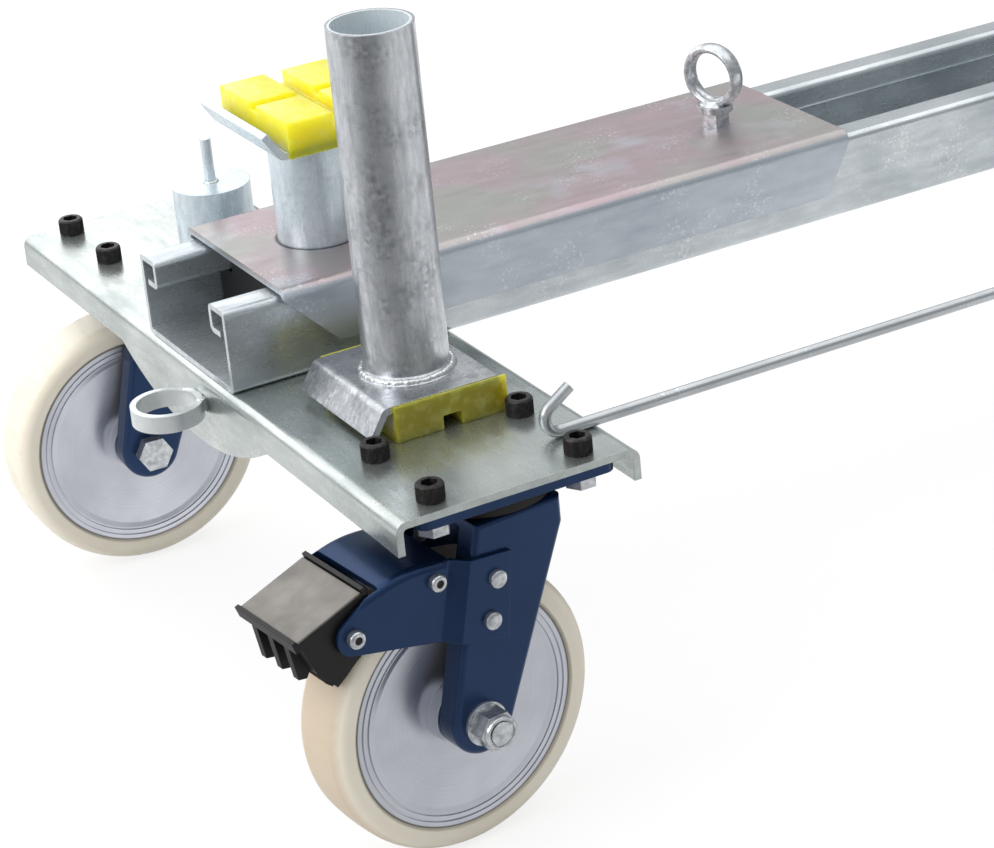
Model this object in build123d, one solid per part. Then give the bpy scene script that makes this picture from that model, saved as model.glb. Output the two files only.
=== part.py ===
from build123d import *
import math
import os

# Moving skate of the cross-beam kind: two end plates on swivel castors, joined by a C-rail on which
# two sleeves with padded lifting supports slide. All sizes are in millimetres.
#
# Frame: +X along the rail, +Y across it, +Z up, origin on the floor under the middle of the rail.
# Each end is drawn once in its own end frame: origin at the middle of the end plate's top face, +X
# towards the middle of the skate. The right end is the left end turned half round about Z.
# A castor has its own castor frame: origin on the swivel axis at the castor's mounting face.

# Whole skate
plate_spacing = 1400.0  # middle of one end plate to the middle of the other
castor_spread = 515.0  # swivel axis to swivel axis on one end plate
running_fit = 0.08  # radial play of a turning pin or shaft
free_gap = 0.3  # air between pieces that slide or lie on each other
hole_play = 0.5  # radial play of a screw in its hole

# End plate
plate_along = 173.0  # along the rail
plate_sheet = 5.0
plate_fold = 22.5  # depth of the folded long edges, over the top face
plate_bend = 8.0  # outer bend radius
belly_chord = 246.0  # width of the belly where it leaves the fold
belly_depth = 32.0

# Tow ring on the belly
ring_diameter = 50.0
ring_wall = 4.5
ring_height = 12.5
ring_drop = 15.0  # plate top to ring top
ring_offset = -17.0  # across the rail
ring_tack = 15.0  # length of the weld tack
ring_tack_height = 8.75

# Castor plate, its bolts and the swivel race
castor_height = 252.0  # floor to mounting face
castor_headroom = 54.0  # mounting face to the top of the wheel
castor_turns = {"braked": 6.0, "plain": -2.0}  # degrees that the forks stand off straight
castor_plate_along = 140.0
castor_plate_across = 110.0
castor_plate_thick = 6.0
castor_plate_corner = 8.0
bolt_along = 105.0
bolt_across = 75.0
bolt_diameter = 12.0
bolt_head_diameter = 18.0
bolt_head_height = 12.0
bolt_head_chamfer = 1.0
bolt_socket = 10.0  # across flats
bolt_socket_depth = 6.0
bolt_end = 1.5  # thread past the nut
nut_flats = 19.0
nut_height = 10.8
race_diameter = 88.0
race_bore = 60.0
upper_race = 4.5  # height of the ring under the castor plate
lower_race = 3.5  # height of the ring on the fork
race_gap = 3.0
ball_diameter = 8.0
balls_per_race = 16
king_pin_diameter = 16.0
king_head_diameter = 26.0
king_head_height = 6.0

# Fork
fork_across = 90.0  # over the legs
fork_sheet = 5.0
fork_crown = 6.0
fork_rim = 18.0  # depth of the folded rim, over the leg's outer face
fork_edge = 4.0  # rounding of the pressed edges
fork_front = 34.0  # crown's reach in front of the swivel axis
fork_back = 31.0
fork_shoulder = 19.0  # upright back edge below the crown's top
fork_foot = 22.5  # radius of the leg's end around the axle

# Wheel and axle
wheel_width = 47.0
castor_trail = 42.0  # swivel axis to axle
tread_crown = 1.5
tread_shoulder = 9.0
tread_depth = 17.0  # tyre, hub to tread
tyre_chamfer = 1.5
hub_rim_width = 44.0
hub_rim_depth = 14.0
hub_web = 34.0  # thickness of the web at the boss
hub_web_rise = 4.0  # the web is thicker by this on each side at the rim
hub_boss_diameter = 48.0
hub_boss_width = 53.0
groove_start = 4.6  # rim's edge to the first groove
groove_pitch = 4.2
groove_width = 1.2
groove_depth = 1.0
groove_count = 2
axle_tube_diameter = 24.0
axle_diameter = 16.0
axle_flats = 24.0
axle_head_height = 9.0
axle_nut_height = 14.0
axle_end = 3.0
axle_washer_diameter = 30.0
axle_washer_thick = 2.5

# Brake on one castor of each end. The hood and the pedal's pin keep their angle round the axle, counted
# upwards from the skate's middle, and their distance off the tread.
brake_sheet = 3.0
hood_across = 77.0
hood_edge = 6.5  # outer rounding of the hood
hood_round = 80.0  # rounding of the hood's crest, seen from the side
hood_nose_place = (120.8, 33.7)  # degrees, off the tread
hood_crest_place = (110.1, 28.8)
hood_lip = 7.0  # nose to the opening in which the pedal stands
ear_top_place = (23.0, 27.3)  # below the crown's top, behind the leg's front edge
ear_bottom_place = (82.0, 33.7)
ear_fold = 3.0  # ear's inner bend to the fork leg's front edge
pedal_pin_place = (132.7, 23.4)  # degrees, off the tread
pedal_lobe = 12.0
pedal_pin_diameter = 8.0
brake_head_diameter = 11.5
brake_head_height = 4.0
cross_bolt_place = (101.2, 9.1)  # degrees, off the tread
rivet_places = ((38.0, 18.0), (65.0, 17.5))  # below the crown's top, behind the leg's front edge
rivet_diameter = 7.0
rivet_head_diameter = 12.0
rivet_head_height = 3.0
# Pedal, from its pin along the rail and up
pedal_heel_reach = (14.0, 27.0)
pedal_toe_reach = (-40.5, 7.5)
pedal_slab = 6.0
pedal_side_gap = 1.5
pedal_ridge_height = 2.0
pedal_ridge_width = 3.0
lever_reach = ((-36.0, 7.0), (-26.0, -17.0), (-13.0, -31.0), (6.0, -17.0), (15.0, 19.0))
fin_reach = ((-38.0, 5.0), (-33.0, -23.0), (-27.0, -24.0), (-18.0, -8.0))
fin_thick = 6.0
fin_pitch = 19.0
fin_count = 3
tread_plate_thick = 1.5
tread_plate_margin = 0.8
pedal_travel = 10.0  # degrees from released to pressed
shoe_gap = 0.5  # shoe to tyre when pressed
shoe_thick = 6.0
shoe_across = 40.0
shoe_span = (1.3, 16.3)  # degrees round the axle past the pedal's pin, pressed

# Rail
rail_across = 142.0
rail_height = 60.0
rail_sheet = 4.0
rail_bend = 5.0  # outer bend radius
rail_slot = 90.0  # between the lips
rail_lip = 21.0  # depth of the lips, over the top
rail_return = 14.0  # lips' lower edges, turned back
rail_overhang = 83.0  # past the end plate's middle

# Sleeve and its glide blocks
sleeve_sheet = 5.0
sleeve_bend = 8.0
sleeve_side_gap = 4.0  # to the rail's side
sleeve_top_gap = 2.0  # to the rail's top
sleeve_skirt = 45.0  # depth of the sides, over the top
sleeve_start = -42.0  # outer end, in the end frame
sleeve_length = 452.0
sleeve_outer_slant = 45.0  # degrees from upright
sleeve_inner_slant = 28.0
glide_inset = 15.0  # from the sleeve's ends
glide_length = 33.0
glide_lip_gap = 1.0
glide_shoulder = 120.0
glide_floor_gap = 2.0

# Eye bolt and clamp
eye_inset = 62.0  # from the sleeve's inner end
eye_radius = 20.5  # ring's middle line
eye_wire = 7.0  # ring's section, across the ring
eye_depth = 13.0  # ring's section, along the hole
eye_turn = -67.7  # degrees, ring's plane from +X
eye_collar_diameter = 26.0
eye_collar_height = 5.0
eye_neck_height = 3.5  # cone between the collar and the ring
eye_neck_taper = 4.0
eye_shank_end = 3.0  # past the clamp bar
clamp_gap = 11.2  # clamp bar to the lips, loose
clamp_thick = 10.0
clamp_along = 24.0
clamp_across = 110.0

# Supports and the spacer: round tube, plate with one folded edge, pad
post_diameter = 57.0
post_wall = 3.4
post_bead = 4.5  # weld between post and plate
short_post = 78.0
tall_post = 234.5
post_plug = 6.0
peg_diameter = 8.0
peg_length = 33.0
peg_play = 0.3
top_sheet = 5.0
top_across = 102.0
top_front = 42.0  # post's axis to the fold
top_back = 39.5
top_fold_out = 11.0
top_fold_up = 17.0
top_bend = 7.0
pad_along = 82.0
pad_lip = 3.0  # round the plate's side edges
pad_height = 20.5
pad_shift = 3.5  # pad's middle past the post's axis
pad_corner = 5.0
pad_edge = 2.0
pad_groove = 13.0
pad_groove_depth = 9.5
pad_cross_groove = 10.0
pad_cross_depth = 5.0
short_place = 23.0  # in the end frame, along the rail
tall_place = (5.5, -157.0)
spacer_place = (1.0, 132.0)
spacer_height = 74.0

# Pull rod
rod_diameter = 8.0
rod_place = -268.0  # across the rail, in the left end's frame
rod_hook_bend = 55.0  # middle of the hook's bend, in the left end's frame
rod_hook_radius = 10.0
rod_hook_leg = 18.0
rod_hook_angle = 34.0  # degrees that the leg rises
rod_loop_radius = 30.0
rod_loop_sweep = 325.0  # degrees

# Heights and places that follow from the sizes above
plate_top = castor_height + plate_sheet
plate_across = castor_spread + castor_plate_across
race_radius = (race_diameter + race_bore) / 4
plate_under = -castor_plate_thick
upper_race_under = plate_under - upper_race
lower_race_top = upper_race_under - race_gap
crown_top = lower_race_top - lower_race
crown_under = crown_top - fork_crown
ball_level = (upper_race_under + lower_race_top) / 2
wheel_radius = (castor_height - castor_headroom) / 2
hub_radius = wheel_radius - tread_depth
axle = (-castor_trail, wheel_radius - castor_height)
leg_outside = fork_across / 2
leg_inside = leg_outside - fork_sheet
ear_outside = leg_outside + brake_sheet
hood_inside = hood_across / 2 - brake_sheet
pedal_across = 2 * (hood_inside - pedal_side_gap)
sleeve_across = rail_across + 2 * (sleeve_side_gap + sleeve_sheet)
sleeve_under = rail_height + sleeve_top_gap
sleeve_top = sleeve_under + sleeve_sheet
sleeve_end = sleeve_start + sleeve_length
eye_place = sleeve_end - eye_inset
lip_under = rail_height - rail_lip
clamp_top = lip_under - clamp_gap
pad_across = top_across + 2 * pad_lip
far = 1000.0  # larger than any castor, for cutting

ends = {
    "left": Pos(-plate_spacing / 2, 0, plate_top),
    "right": Pos(plate_spacing / 2, 0, plate_top) * Rot(0, 0, 180),
}
castors = {
    "braked": Pos(0, -castor_spread / 2, -plate_sheet),
    "plain": Pos(0, castor_spread / 2, -plate_sheet),
}


def group(shapes):
    """Separate solids that share one node."""
    return Compound(children=[solid for shape in shapes for solid in shape.solids()])


def upright(sketch, across, middle=0.0):
    """Stand a sketch drawn along the rail and up, with this thickness across the rail."""
    return Pos(0, middle, 0) * extrude(Plane.XZ * sketch, across / 2, both=True)


def along_rail(sketch, start, end):
    """Run a sketch drawn across the rail and up along the rail."""
    return Pos(start, 0, 0) * extrude(Plane.YZ * sketch, end - start)


def rod_between(radius, point, side_a, side_b):
    """Round bar across the rail through a point along the rail and up."""
    bar = extrude(Plane.XZ * Circle(radius), -(side_b - side_a))
    return Pos(point[0], side_a, point[1]) * bar


def hex_between(flats, point, side_a, side_b):
    bar = extrude(Plane.XZ * RegularPolygon(flats / 2, 6, major_radius=False), -(side_b - side_a))
    return Pos(point[0], side_a, point[1]) * bar


def upright_bar(radius, bottom, top):
    return Pos(0, 0, bottom) * extrude(Circle(radius), top - bottom)


def upright_hex(flats, bottom, top):
    return Pos(0, 0, bottom) * extrude(RegularPolygon(flats / 2, 6, major_radius=False), top - bottom)


def hull_outline(points, disc, radius):
    """Convex outline round some points and a disc."""
    edges = Polyline(*points, close=True).edges() + (Pos(*disc) * Circle(radius)).edges()
    return make_hull(edges)


def points_sketch(points):
    return Polygon(*points, align=None)


def folded_sheet(points, bend, sheet):
    """Section of a bent sheet whose middle line runs through the points."""
    return trace(FilletPolyline(*points, radius=bend - sheet / 2), line_width=sheet)


def rectangle_places(along, across):
    return [Pos(x, y, 0) for x in (-along / 2, along / 2) for y in (-across / 2, across / 2)]


# End plate and what is fixed on it

def end_plate():
    half = (plate_along - plate_sheet) / 2
    level = -plate_sheet / 2
    section = folded_sheet(
        [(-half, -plate_fold), (-half, level), (half, level), (half, -plate_fold)], plate_bend, plate_sheet
    )
    plate = upright(section, plate_across)
    belly_radius = ((belly_chord / 2) ** 2 + belly_depth**2) / (2 * belly_depth)
    belly_middle = belly_radius - belly_depth - plate_fold
    disc = Pos(0, belly_middle) * Circle(belly_radius)
    above = Pos(0, -plate_fold + far / 2) * Rectangle(far, far)
    plate += along_rail(disc - above, -plate_along / 2, -plate_along / 2 + plate_sheet)
    hole = upright_bar(bolt_diameter / 2 + hole_play, -plate_sheet, 0)
    for castor in castors.values():
        for place in rectangle_places(bolt_along, bolt_across):
            plate -= Pos(castor.position.X, castor.position.Y, 0) * place * hole
    return plate


def tow_ring():
    outer = ring_diameter / 2
    ring = upright_bar(outer, -ring_height, 0)
    tack = Pos(outer / 2, 0, -ring_height / 2) * Box(outer, ring_tack, ring_tack_height)
    ring = ring + tack - upright_bar(outer - ring_wall, -ring_height, 0)
    return Pos(-plate_along / 2 - outer, ring_offset, -ring_drop) * ring


def castor_screw():
    tip = -(plate_sheet + castor_plate_thick + nut_height + bolt_end)
    screw = upright_bar(bolt_head_diameter / 2, 0, bolt_head_height)
    screw = chamfer(screw.edges().group_by(Axis.Z)[-1], bolt_head_chamfer)
    screw += upright_bar(bolt_diameter / 2, tip, 0)
    return screw - upright_hex(bolt_socket, bolt_head_height - bolt_socket_depth, bolt_head_height)


def castor_nut():
    top = -(plate_sheet + castor_plate_thick)
    bore = upright_bar(bolt_diameter / 2 + running_fit, top - nut_height, top)
    return upright_hex(nut_flats, top - nut_height, top) - bore


def castor_fastener_places():
    for end in ends.values():
        for castor in castors.values():
            for place in rectangle_places(bolt_along, bolt_across):
                yield end * Pos(castor.position.X, castor.position.Y, 0) * place


# Castor, in the castor frame

def race_groove():
    return Pos(0, 0, ball_level) * Torus(race_radius, ball_diameter / 2 + free_gap)


def castor_plate():
    outline = RectangleRounded(castor_plate_along, castor_plate_across, castor_plate_corner)
    plate = Pos(0, 0, plate_under) * extrude(outline, castor_plate_thick)
    for place in rectangle_places(bolt_along, bolt_across):
        plate -= place * upright_bar(bolt_diameter / 2 + hole_play, plate_under, 0)
    race = upright_bar(race_diameter / 2, upper_race_under, plate_under)
    race -= upright_bar(race_bore / 2, upper_race_under, plate_under)
    head_top = crown_under - free_gap
    pin = upright_bar(king_pin_diameter / 2, head_top, plate_under)
    pin += upright_bar(king_head_diameter / 2, head_top - king_head_height, head_top)
    return plate + (race - race_groove()) + pin


def swivel_balls():
    ball = Pos(0, 0, ball_level) * Sphere(ball_diameter / 2)
    return [place * ball for place in PolarLocations(race_radius, balls_per_race)]


def leg_outline():
    crown = [(-fork_front, crown_top), (fork_back, crown_top), (fork_back, crown_top - fork_shoulder)]
    return hull_outline(crown, axle, fork_foot)


def fork():
    outline = leg_outline()
    block = upright(outline, fork_across)
    sides = block.faces().sort_by(Axis.Y)
    block = fillet(sides[0].edges() + sides[-1].edges(), fork_edge)
    wheel_gap = Pos(0, 0, crown_under - far / 2) * Box(far, fork_across - 2 * fork_rim, far)
    below_crown = Pos(0, 0, crown_under - far / 2) * Box(far, far, far)
    hollow = upright(offset(outline, -fork_sheet), 2 * leg_inside) & below_crown
    body = block - wheel_gap - hollow
    race = upright_bar(race_diameter / 2, crown_top, lower_race_top)
    race -= upright_bar(race_bore / 2, crown_top, lower_race_top)
    body = body + race - race_groove()
    body -= upright_bar(king_pin_diameter / 2 + running_fit, crown_under, crown_top)
    return body - rod_between(axle_diameter / 2 + hole_play, axle, -leg_outside, leg_outside)


def braked_fork():
    """Fork with the holes for the brake's rivets."""
    body = fork()
    for point in rivets:
        body -= rod_between(rivet_diameter / 2 + running_fit, point, -leg_outside, leg_outside)
    return body


def axle_set(nut_side):
    """Bolt, spacer tube, washer and lock nut; the nut is on this side (+1 or -1) across the rail."""
    washer_outside = leg_outside + axle_washer_thick
    nut_outside = washer_outside + axle_nut_height
    bolt_radius = axle_diameter / 2
    bolt = rod_between(bolt_radius, axle, -leg_outside, nut_outside + axle_end)
    bolt += hex_between(axle_flats, axle, -leg_outside - axle_head_height, -leg_outside)
    bore = rod_between(bolt_radius + running_fit, axle, -far, far)
    nut = hex_between(axle_flats, axle, washer_outside, nut_outside) - bore
    tube = rod_between(axle_tube_diameter / 2, axle, -leg_inside, leg_inside) - bore
    washer = rod_between(axle_washer_diameter / 2, axle, leg_outside, washer_outside) - bore
    pieces = [bolt, nut, tube, washer]
    return group(pieces if nut_side > 0 else [mirror(piece, Plane.XZ) for piece in pieces])


def on_axle(shape):
    return Pos(axle[0], 0, axle[1]) * shape


def hub():
    bore = axle_tube_diameter / 2 + running_fit
    boss = hub_boss_diameter / 2
    rim_inside = hub_radius - hub_rim_depth
    web = hub_web / 2
    half = [
        (bore, hub_boss_width / 2),
        (boss, hub_boss_width / 2),
        (boss, web),
        (rim_inside, web + hub_web_rise),
        (rim_inside + hub_web_rise, hub_rim_width / 2),
        (hub_radius - running_fit, hub_rim_width / 2),
    ]
    other_half = [(radius, -side) for radius, side in reversed(half)]
    body = revolve(points_sketch(half + other_half), Axis.Y)
    for number in range(groove_count):
        radius = hub_radius - groove_start - number * groove_pitch
        for side in (-1, 1):
            groove = Pos(radius, side * hub_rim_width / 2) * Rectangle(groove_width, 2 * groove_depth)
            body -= revolve(groove, Axis.Y)
    return on_axle(body)


def tyre():
    half = wheel_width / 2
    inside = hub_radius
    shoulder = wheel_radius - tread_crown
    side = Polyline(
        (shoulder, half), (inside + tyre_chamfer, half), (inside, half - tyre_chamfer),
        (inside, tyre_chamfer - half), (inside + tyre_chamfer, -half), (shoulder, -half),
    )
    tread = ThreePointArc((shoulder, -half), (wheel_radius, 0), (shoulder, half))
    section = make_face(side.edges() + tread.edges())
    corners = section.vertices().group_by(Axis.X)[-1]
    return on_axle(revolve(fillet(corners, tread_shoulder), Axis.Y))


# Brake, in the castor frame

def leg_lean():
    """How far the fork leg's front edge runs forward for each millimetre down."""
    down = crown_top - axle[1]
    back = castor_trail - fork_front
    return math.tan(math.atan2(back, down) + math.asin(fork_foot / math.hypot(back, down)))


def leg_front(drop):
    """Place of the fork leg's front edge, this far below the crown's top."""
    return -fork_front - leg_lean() * drop


def behind_leg_front(place):
    """Point this far below the crown's top and behind the leg's front edge."""
    drop, behind = place
    return (leg_front(drop) + behind, crown_top - drop)


def off_tread(place):
    """Point at an angle round the axle and a distance off the tread."""
    angle, distance = place
    reach = wheel_radius + distance
    turn = math.radians(angle)
    return (axle[0] + reach * math.cos(turn), axle[1] + reach * math.sin(turn))


def from_pin(reach):
    """Point from the pedal's pin along the rail and up."""
    return (pedal_pivot[0] + reach[0], pedal_pivot[1] + reach[1])


hood_nose = off_tread(hood_nose_place)
hood_crest = off_tread(hood_crest_place)
hood_mouth = hood_nose[0] + hood_lip
cross_bolt = off_tread(cross_bolt_place)
ear_top = behind_leg_front(ear_top_place)
ear_bottom = behind_leg_front(ear_bottom_place)
rivets = [behind_leg_front(place) for place in rivet_places]
pedal_pivot = off_tread(pedal_pin_place)
pedal_heel = from_pin(pedal_heel_reach)
pedal_toe = from_pin(pedal_toe_reach)


def hood_outline():
    outline = hull_outline([hood_nose, hood_crest, ear_top, ear_bottom], pedal_pivot, pedal_lobe)
    crest = outline.vertices().sort_by(Axis.Y)[-1]
    return fillet(crest, hood_round)


def brake_housing():
    lean = leg_lean()
    outline = hood_outline()
    bend_out = leg_front(crown_top) - ear_fold
    bend_in = bend_out - (ear_outside - hood_across / 2)
    hood = upright(outline, hood_across)
    upper = hood.edges().filter_by(lambda edge: edge.bounding_box().min.Z > hood_nose[1] - hood_edge)
    hood = fillet(upper.filter_by(lambda edge: edge.bounding_box().size.X > hood_edge), hood_edge)
    inside = points_sketch([
        (-far, -far), (-far, 0), (hood_mouth, 0), (hood_mouth, hood_nose[1] - brake_sheet),
        (hood_crest[0], hood_crest[1] - brake_sheet), (ear_top[0], ear_top[1] - brake_sheet),
        (ear_top[0], -far),
    ])
    behind_fold = points_sketch([
        (bend_in, 0), (far, 0), (far, -far), (bend_in - lean * far, -far),
    ])
    hood = hood - upright(inside, 2 * hood_inside) - upright(behind_fold, far)
    hood_line = (hood_across - brake_sheet) / 2
    ear_line = ear_outside - brake_sheet / 2
    ear_path = Polyline(
        (bend_in - brake_sheet, hood_line), (bend_in, hood_line), (bend_out, ear_line), (far, ear_line)
    )
    ear = extrude(trace(ear_path, line_width=brake_sheet), far, dir=(-lean, 0, -1))
    ear = ear & upright(outline, far)
    body = hood + ear + mirror(ear, Plane.XZ)
    for point in rivets:
        body -= rod_between(rivet_diameter / 2 + running_fit, point, -far, far)
    for point in (pedal_pivot, cross_bolt):
        body -= rod_between(pedal_pin_diameter / 2 + running_fit, point, -far, far)
    return body


def brake_pins():
    """Rivets that hold the hood on the fork, the cross bolt and the pedal's pin."""
    pins = []
    for point in rivets:
        rivet = rod_between(rivet_diameter / 2, point, leg_inside, ear_outside)
        head_radius = rivet_head_diameter / 2
        rivet += rod_between(head_radius, point, ear_outside, ear_outside + rivet_head_height)
        rivet += rod_between(head_radius, point, leg_inside - rivet_head_height, leg_inside)
        pins += [rivet, mirror(rivet, Plane.XZ)]
    hood_side = hood_across / 2
    for point in (pedal_pivot, cross_bolt):
        pin = rod_between(pedal_pin_diameter / 2, point, -hood_side, hood_side)
        head = rod_between(brake_head_diameter / 2, point, hood_side, hood_side + brake_head_height)
        pins.append(pin + head + mirror(head, Plane.XZ))
    return group(pins)


def pedal_slope():
    return math.atan2(pedal_heel[1] - pedal_toe[1], pedal_heel[0] - pedal_toe[0])


def pedal_length():
    return math.dist(pedal_heel, pedal_toe)


def on_pedal(run, rise):
    """Point along the rail and up, from a run down the pedal's top and a rise off it."""
    slope = pedal_slope()
    x = pedal_heel[0] - run * math.cos(slope) - rise * math.sin(slope)
    z = pedal_heel[1] - run * math.sin(slope) + rise * math.cos(slope)
    return (x, z)


def pedal_box(run_a, run_b, rise_a, rise_b, across):
    under = [on_pedal(run_a, rise_a), on_pedal(run_b, rise_a)]
    over = [on_pedal(run_b, rise_b), on_pedal(run_a, rise_b)]
    return upright(points_sketch(under + over), across)


def pressed_axle():
    """Where the axle lies, seen from the pedal, when the pedal is pressed."""
    turn = math.radians(pedal_travel)
    x = axle[0] - pedal_pivot[0]
    z = axle[1] - pedal_pivot[1]
    turned_x = x * math.cos(turn) + z * math.sin(turn)
    turned_z = z * math.cos(turn) - x * math.sin(turn)
    return (pedal_pivot[0] + turned_x, pedal_pivot[1] + turned_z)


def brake_pedal():
    length = pedal_length()
    body = pedal_box(0, length, -pedal_slab, -tread_plate_thick, pedal_across)
    for run in (0, length - pedal_ridge_width):
        ridge_end = run + pedal_ridge_width
        body += pedal_box(run, ridge_end, -pedal_slab, pedal_ridge_height, pedal_across)
    lever = upright(points_sketch([from_pin(reach) for reach in lever_reach]), pedal_across)
    fin = points_sketch([from_pin(reach) for reach in fin_reach])
    for number in range(fin_count):
        middle = (number - (fin_count - 1) / 2) * fin_pitch
        lever += upright(fin, fin_thick, middle)
    shoe_back = wheel_radius + shoe_gap + shoe_thick + running_fit
    body += lever - rod_between(shoe_back, pressed_axle(), -far, far)
    return body - rod_between(pedal_pin_diameter / 2 + running_fit, pedal_pivot, -far, far)


def pedal_tread():
    start = pedal_ridge_width + tread_plate_margin
    end = pedal_length() - start
    return pedal_box(start, end, -tread_plate_thick, 0, pedal_across - 2 * tread_plate_margin)


def brake_shoe():
    inside = wheel_radius + shoe_gap
    reach = 2 * wheel_radius
    angles = [math.radians(pedal_pin_place[0] + span) for span in shoe_span]
    corners = [(reach * math.cos(angle), reach * math.sin(angle)) for angle in angles]
    wedge = points_sketch([(0, 0), *corners])
    band = Circle(inside + shoe_thick) - Circle(inside)
    turned = Rot(0, 0, -pedal_travel) * (band & wedge)
    return upright(Pos(*pressed_axle()) * turned, shoe_across)


# Rail, sleeve and clamp, in the end frame

def c_rail():
    side = (rail_across - rail_sheet) / 2
    floor = rail_sheet / 2
    top = rail_height - rail_sheet / 2
    lip = (rail_slot + rail_sheet) / 2
    low = lip_under + rail_sheet / 2
    half = [(lip + rail_return, low), (lip, low), (lip, top), (side, top), (side, floor)]
    other_half = [(-across, up) for across, up in reversed(half)]
    section = folded_sheet(half + other_half, rail_bend, rail_sheet)
    end = plate_spacing / 2 + rail_overhang
    return Pos(0, 0, plate_top) * along_rail(section, -end, end)


def sleeve():
    side = (sleeve_across - sleeve_sheet) / 2
    level = sleeve_top - sleeve_sheet / 2
    under = sleeve_top - sleeve_skirt
    section = folded_sheet(
        [(-side, under), (-side, level), (side, level), (side, under)], sleeve_bend, sleeve_sheet
    )
    body = along_rail(section, sleeve_start, sleeve_end)
    slant_top = sleeve_top - sleeve_bend
    for end, slant, way in ((sleeve_start, sleeve_outer_slant, 1), (sleeve_end, sleeve_inner_slant, -1)):
        back = way * math.tan(math.radians(slant)) * (slant_top - under)
        body -= upright(points_sketch([(end, slant_top), (end + back, under), (end, under)]), far)
    body -= Pos(short_place, 0, 0) * upright_bar(peg_diameter / 2 + peg_play, sleeve_under, sleeve_top)
    return body - Pos(eye_place, 0, 0) * upright_bar(bolt_diameter / 2 + hole_play, sleeve_under, sleeve_top)


def level_strip(across, bottom, top):
    return Pos(0, (bottom + top) / 2) * Rectangle(across, top - bottom)


def glide_block(start):
    """Block that is fixed under the sleeve and runs in the rail, round its lips."""
    neck = rail_slot - 2 * glide_lip_gap
    foot = rail_across - 2 * (rail_sheet + glide_lip_gap)
    foot_under = rail_sheet + glide_floor_gap
    foot_top = lip_under - glide_lip_gap
    shoulder_under = rail_height + free_gap
    section = level_strip(neck, foot_under, sleeve_under)
    section += level_strip(foot, foot_under, foot_top)
    section += level_strip(glide_shoulder, shoulder_under, sleeve_under)
    return along_rail(section, start, start + glide_length)


def glide_blocks():
    inner = sleeve_end - glide_inset - glide_length
    return group([glide_block(sleeve_start + glide_inset), glide_block(inner)])


def clamp_bar():
    bar = Pos(0, 0, clamp_top - clamp_thick / 2) * Box(clamp_along, clamp_across, clamp_thick)
    bar -= upright_bar(bolt_diameter / 2 + running_fit, clamp_top - clamp_thick, clamp_top)
    return Pos(eye_place, 0, 0) * bar


def clamp_nut():
    nut = upright_hex(nut_flats, sleeve_top, sleeve_top + nut_height)
    nut -= upright_bar(bolt_diameter / 2 + running_fit, sleeve_top, sleeve_top + nut_height)
    return Pos(eye_place, 0, 0) * nut


def eye_bolt():
    collar_under = sleeve_top + nut_height
    ring_middle = collar_under + eye_collar_height / 2 + eye_wire / 2 + eye_radius
    tip = clamp_top - clamp_thick - eye_shank_end
    section = Pos(eye_radius, 0) * Ellipse(eye_wire / 2, eye_depth / 2)
    ring = Pos(0, 0, ring_middle) * revolve(section, Axis.Y)
    collar_top = collar_under + eye_collar_height
    collar_radius = eye_collar_diameter / 2
    neck = Cone(collar_radius - eye_neck_taper / 2, collar_radius - 1.5 * eye_neck_taper, eye_neck_height)
    bolt = ring + upright_bar(collar_radius, collar_under, collar_top)
    bolt += Pos(0, 0, collar_top + eye_neck_height / 2) * neck
    bolt += upright_bar(bolt_diameter / 2, tip, collar_under)
    return Pos(eye_place, 0, 0) * Rot(0, 0, eye_turn) * bolt


# Supports, drawn standing on the post's lower end, and their pads

def support_top(post):
    """Post with its welded plate; the plate's front edge is folded up."""
    radius = post_diameter / 2
    middle = post + top_sheet / 2
    section = folded_sheet(
        [(top_back, middle), (-top_front, middle), (-top_front - top_fold_out, middle + top_fold_up)],
        top_bend, top_sheet,
    )
    tube = upright_bar(radius, 0, post) - upright_bar(radius - post_wall, 0, post)
    corner = points_sketch([(radius, post), (radius + post_bead, post), (radius, post - post_bead)])
    bead = revolve(Plane.XZ * corner, Axis.Z)
    return upright(section, top_across) + tube + bead


def peg():
    return upright_bar(peg_diameter / 2, -peg_length, 0)


def plug():
    return upright_bar(post_diameter / 2 - post_wall / 2, 0, post_plug)


def short_support():
    return Pos(short_place, 0, sleeve_top) * (support_top(short_post) + plug() + peg())


def pad(post):
    top = post + top_sheet + pad_height
    height = top_sheet + pad_height
    block = Pos(pad_shift, 0, top - height / 2) * Box(pad_along, pad_across, height)
    block = fillet(block.edges().filter_by(Axis.Z), pad_corner)
    block = chamfer(block.faces().sort_by(Axis.Z)[-1].edges(), pad_edge)
    groove = Pos(pad_shift, 0, top) * Box(pad_groove, far, 2 * pad_groove_depth)
    cross = Pos(pad_shift, 0, top) * Box(far, pad_cross_groove, 2 * pad_cross_depth)
    plate = Pos(0, 0, post + top_sheet / 2) * Box(far, top_across + 2 * free_gap, top_sheet)
    return block - groove - cross - plate


def short_pad():
    return Pos(short_place, 0, sleeve_top) * pad(short_post)


def stored(shape):
    """Tall support turned upside down, standing on its pad on the end plate."""
    height = tall_post + top_sheet + pad_height
    return Pos(tall_place[0], tall_place[1], height) * Rot(180, 0, 0) * shape


def spacer():
    """Plain post with a peg on its plugged end, stored with the peg up."""
    radius = post_diameter / 2
    post = upright_bar(radius, 0, spacer_height) - upright_bar(radius - post_wall, 0, spacer_height)
    upside_down = post + plug() + peg()
    return Pos(spacer_place[0], spacer_place[1], spacer_height) * Rot(180, 0, 0) * upside_down


# Pull rod, lying on both end plates

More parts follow.
